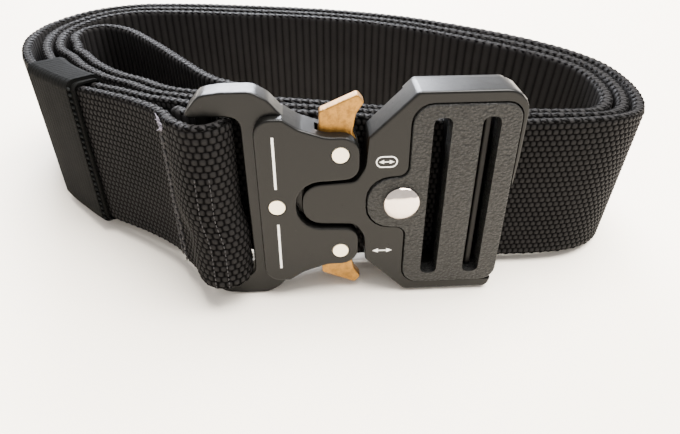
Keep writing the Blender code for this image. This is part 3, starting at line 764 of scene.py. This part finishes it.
FLAT_WITHIN = 0.8
MERGE_WITHIN = 1e-6
COAT_DARK, COAT_BRIGHT = (0.0019, 0.0019, 0.0017), (0.0035, 0.0034, 0.0030)
SPECK_SCALE, SATIN_SCALE, SATIN_DEPTH = 900.0, 2600.0, 0.02
GRAIN_TOP, GRAIN_PIT = (0.0160, 0.0162, 0.0156), (0.0006, 0.0006, 0.0006)
PEBBLE_SCALE, PEBBLE_STRETCH, PIT_SCALE, GRAIN_DEPTH = 1900.0, (0.85, 1.0, 1.1), 2200.0, 0.3
STEEL = (0.004, 0.0038, 0.0036, 1.0)


def buckle_point(a, d, b):
    return Vector((a + CENTRE_X, CENTRE_Y + d * math.cos(LEAN) + b * math.sin(LEAN),
                   BUCKLE_Z - d * math.sin(LEAN) + b * math.cos(LEAN))) * MM


def flat_regions(bm, limit):
    """Number of the flat region that each face is in, with each region's area and normal."""
    region = {}
    areas, normals = [], []
    for seed in bm.faces:
        if seed in region:
            continue
        number, area, waiting = len(areas), 0.0, [seed]
        region[seed] = number
        while waiting:
            face = waiting.pop()
            area += face.calc_area()
            for edge in face.edges:
                for other in edge.link_faces:
                    if other not in region and other.normal.dot(seed.normal) > limit:
                        region[other] = number
                        waiting.append(other)
        areas.append(area)
        normals.append(seed.normal.copy())
    return region, areas, normals


def finished(node, body, finish, sharp=40.0):
    """The node's shape, merged, its flats shaded flat and its rounded edges smooth."""
    bm = bmesh.new()
    bm.from_mesh(frame["nodes"][node].data)
    bmesh.ops.remove_doubles(bm, verts=bm.verts, dist=MERGE_WITHIN)
    bm.normal_update()
    region, areas, normals = flat_regions(bm, math.cos(math.radians(FLAT_WITHIN)))
    crease = math.cos(math.radians(sharp))
    corners = []
    for face in bm.faces:
        face.smooth = True
        for loop in face.loops:
            near = {region[other] for other in loop.vert.link_faces
                    if other.normal.dot(face.normal) > crease}
            corners.append(sum((normals[k] * areas[k] for k in near), Vector()).normalized())
    mesh = bpy.data.meshes.new(node + "_finished")
    bm.to_mesh(mesh)
    bm.free()
    mesh.normals_split_custom_set(corners)
    mesh.materials.clear()
    mesh.materials.append(finish.material)
    fitted(node + "_finished", mesh, body, node)


coated = Finish("buckle_black", Specular_IOR_Level=0.15, Coat_Weight=0.03, Coat_Roughness=0.2)
speck = coated.noise(SPECK_SCALE, detail=4.0)
coated.set(Base_Color=coated.between(COAT_DARK, COAT_BRIGHT, speck),
           Roughness=coated.spread(speck, 0.2, 0.8, 0.27, 0.37))
coated.raise_surface(coated.noise(SATIN_SCALE, detail=3.0), SATIN_DEPTH * MM, 0.25)
finished("female_body", "belt", coated)
finished("male_frame", "belt", coated)

grained = Finish("grained_black", Specular_IOR_Level=0.24)
wander = grained.node("ShaderNodeMapping", {"Vector": grained.objects(), "Scale": PEBBLE_STRETCH})
pebble = grained.node("ShaderNodeTexVoronoi", {"Vector": wander, "Scale": PEBBLE_SCALE},
                      feature="SMOOTH_F1")
pit = grained.noise(PIT_SCALE, wander, detail=4.0, roughness=0.65)
grain = pebble * 0.8 + pit * 0.7
grained.set(Base_Color=grained.between(GRAIN_TOP, GRAIN_PIT, grained.spread(grain, 0.2, 1.0)),
            Roughness=grained.spread(pit, 0.3, 0.7, 0.42, 0.62))
grained.raise_surface(1.2 - grain, GRAIN_DEPTH * MM)
finished("male_insert", "belt", grained)

dull = Finish("adjuster_steel", Base_Color=STEEL, Metallic=0.2, Specular_IOR_Level=0.12)
dull.set(Roughness=dull.spread(dull.noise(800.0), 0.2, 0.8, 0.28, 0.42))
finished("adjuster_bar", "belt", dull, 20.0)

# Levers
# Two cast brass levers, left matt and mottled as they come from the mould. Each turns on its
# own rivet inside the female half, and its outer end stands out past the edge.

BRASS_DARK, BRASS_BRIGHT = (0.15, 0.070, 0.012), (0.33, 0.162, 0.030)
CAST_SCALE, BLOT_SCALE, CAST_DEPTH = 1300.0, 520.0, 0.10

brass = Finish("lever_brass", Metallic=0.8, Specular_IOR_Level=0.5)
cast = brass.noise(CAST_SCALE, detail=6.0, roughness=0.65)
mottled = cast * 0.6 + brass.noise(BLOT_SCALE, detail=3.0) * 0.4
brass.set(Base_Color=brass.between(BRASS_DARK, BRASS_BRIGHT, brass.spread(mottled, 0.3, 0.66)),
          Roughness=brass.spread(cast, 0.2, 0.8, 0.36, 0.5))
brass.raise_surface(cast, CAST_DEPTH * MM, 0.45)
finished("lever_top", "lever_top_body", brass)
finished("lever_bottom", "lever_bottom_body", brass)

# Rivets
# Three small flat peened rivets, their near-white cream colour partly the pale metal's own and
# partly a painted reflection, and the large domed one that holds the grained plate.

PALE_METAL_AND_REFLECTION_DARK, PALE_METAL_AND_REFLECTION_BRIGHT = (0.92, 0.78, 0.55), (1.0, 0.91, 0.68)
POLISHED_DARK, POLISHED_BRIGHT = (0.62, 0.52, 0.44), (0.78, 0.68, 0.60)

peened = Finish("rivet_pale", Metallic=0.3)
swirl = peened.noise(600.0, detail=3.0)
# Painted reflection: the near-white cream base colour, partly the pale metal's own, stands in for
# the bright glare on the heads.
peened.set(Base_Color=peened.between(PALE_METAL_AND_REFLECTION_DARK, PALE_METAL_AND_REFLECTION_BRIGHT, swirl),
           Roughness=peened.spread(swirl, 0.2, 0.8, 0.26, 0.4))
for node in ("pivot_rivet_top", "pivot_rivet_bottom", "body_rivet"):
    finished(node, "belt", peened, 25.0)

polished = Finish("rivet_polished", Metallic=1.0)
brushed = polished.noise(500.0)
polished.set(Base_Color=polished.between(POLISHED_DARK, POLISHED_BRIGHT, brushed),
             Roughness=polished.spread(brushed, 0.2, 0.8, 0.06, 0.12))
finished("male_rivet", "belt", polished, 50.0)

# Printed marks
# White ink laid on the coating: two bars on the female half, and on the male half a plain ring
# outline with a two-headed arrow in it, and another arrow lower down.

INK = 0.05
INK_WORN, INK_WHITE = (0.70, 0.69, 0.66), (0.92, 0.91, 0.88)
FEMALE_FACE, MALE_FACE = 0.0, 0.6
BAR_WIDTH = 0.52
RING_PLACE = (9.9, 10.3)
ROUND_STEPS = 8

ink = Finish("white_ink", Specular_IOR_Level=0.4)
wear = ink.noise(1500.0)
ink.set(Base_Color=ink.between(INK_WORN, INK_WHITE, wear),
        Roughness=ink.spread(wear, 0.2, 0.8, 0.5, 0.65))


def printed(name, shapes, face):
    """Thin plates of ink on the face at that depth, each an outline or a ring of two."""
    bm = bmesh.new()
    for outer, inner in shapes:
        loops = []
        for depth in (face - INK, face + INK):
            loops.append([[bm.verts.new(buckle_point(a, depth, b)) for a, b in loop]
                          for loop in (outer, inner) if loop])
        count = len(outer)
        for i in range(count):
            j = (i + 1) % count
            for which, loop in enumerate(loops[0]):
                back = loops[1][which]
                bm.faces.new((loop[i], loop[j], back[j], back[i]))
            if inner:
                for front in loops:
                    bm.faces.new((front[0][i], front[0][j], front[1][j], front[1][i]))
        if not inner:
            for front in loops:
                bm.faces.new(front[0])
    bmesh.ops.recalc_face_normals(bm, faces=bm.faces)
    mesh = bpy.data.meshes.new(name)
    bm.to_mesh(mesh)
    bm.free()
    mesh.materials.append(ink.material)
    fitted(name, mesh, "belt")


def stadium(a, b, length, height):
    """Outline of a bar with round ends."""
    radius = height / 2
    points = []
    for side, start in ((1, -90), (-1, 90)):
        for k in range(ROUND_STEPS + 1):
            angle = math.radians(start + 180 * k / ROUND_STEPS)
            points.append((a + side * (length / 2 - radius) + radius * math.cos(angle),
                           b + radius * math.sin(angle)))
    return points


def arrow(a, b, length, head, shaft):
    """Two-headed arrow along a."""
    half, neck = length / 2, length / 2 - head * 1.15
    return [(a - half, b), (a - neck, b - head / 2), (a - neck, b - shaft / 2),
            (a + neck, b - shaft / 2), (a + neck, b - head / 2), (a + half, b),
            (a + neck, b + head / 2), (a + neck, b + shaft / 2), (a - neck, b + shaft / 2),
            (a - neck, b + head / 2)]


def bar(a, low, high):
    return [(a - BAR_WIDTH / 2, low), (a + BAR_WIDTH / 2, low), (a + BAR_WIDTH / 2, high),
            (a - BAR_WIDTH / 2, high)]


printed("printed_bars", [(bar(-14.0, 4.7, 17.0), None), (bar(-14.0, -16.9, -4.5), None)],
        FEMALE_FACE)
printed("printed_ring", [(stadium(*RING_PLACE, 4.7, 2.75), stadium(*RING_PLACE, 4.15, 2.2)),
                         (arrow(*RING_PLACE, 3.3, 0.9, 0.24), None)], MALE_FACE)
printed("printed_arrow", [(arrow(9.8, -13.25, 4.6, 1.15, 0.3), None)], MALE_FACE)

# Table and light
# A plain pale table top in a pale room. A cool window behind the belt and a wide soft light high
# over it light it, and the camera sees neither.

TABLE_HALF = 2.0
TABLE_COLOUR = (1.0, 0.92, 0.80, 1.0)
ROOM_COLOUR, ROOM_STRENGTH = (0.96, 0.95, 0.96, 1.0), 1.3

table_top = bpy.data.objects.new("table_top", bpy.data.meshes.new("table_top"))
table_corners = [(x * TABLE_HALF, y * TABLE_HALF, 0)
                 for x, y in ((-1, -1), (1, -1), (1, 1), (-1, 1))]
table_top.data.from_pydata(table_corners, [], [(0, 1, 2, 3)])
bpy.context.scene.collection.objects.link(table_top)
pale = Finish("pale_table", Base_Color=TABLE_COLOUR, Roughness=0.6)
table_top.data.materials.append(pale.material)


def window(name, place, size, power, colour):
    """A rectangle of light that faces the belt."""
    light = bpy.data.lights.new(name, "AREA")
    light.shape = "RECTANGLE"
    light.size, light.size_y = size
    light.energy = power
    light.color = colour
    lamp = bpy.data.objects.new(name, light)
    lamp.location = place
    lamp.rotation_euler = (-Vector(place)).to_track_quat("-Z", "Y").to_euler()
    lamp.visible_camera = False
    bpy.context.scene.collection.objects.link(lamp)


window("back_window", (-0.08, 0.95, 0.48), (0.62, 0.42), 41.0, (0.89, 0.92, 1.0))
window("high_soft", (0.30, 0.12, 1.0), (1.0, 1.0), 90.0, (1.0, 0.97, 0.92))
world = bpy.data.worlds.new("room")
world.use_nodes = True
background = world.node_tree.nodes["Background"].inputs
background["Color"].default_value = ROOM_COLOUR
background["Strength"].default_value = ROOM_STRENGTH
bpy.context.scene.world = world
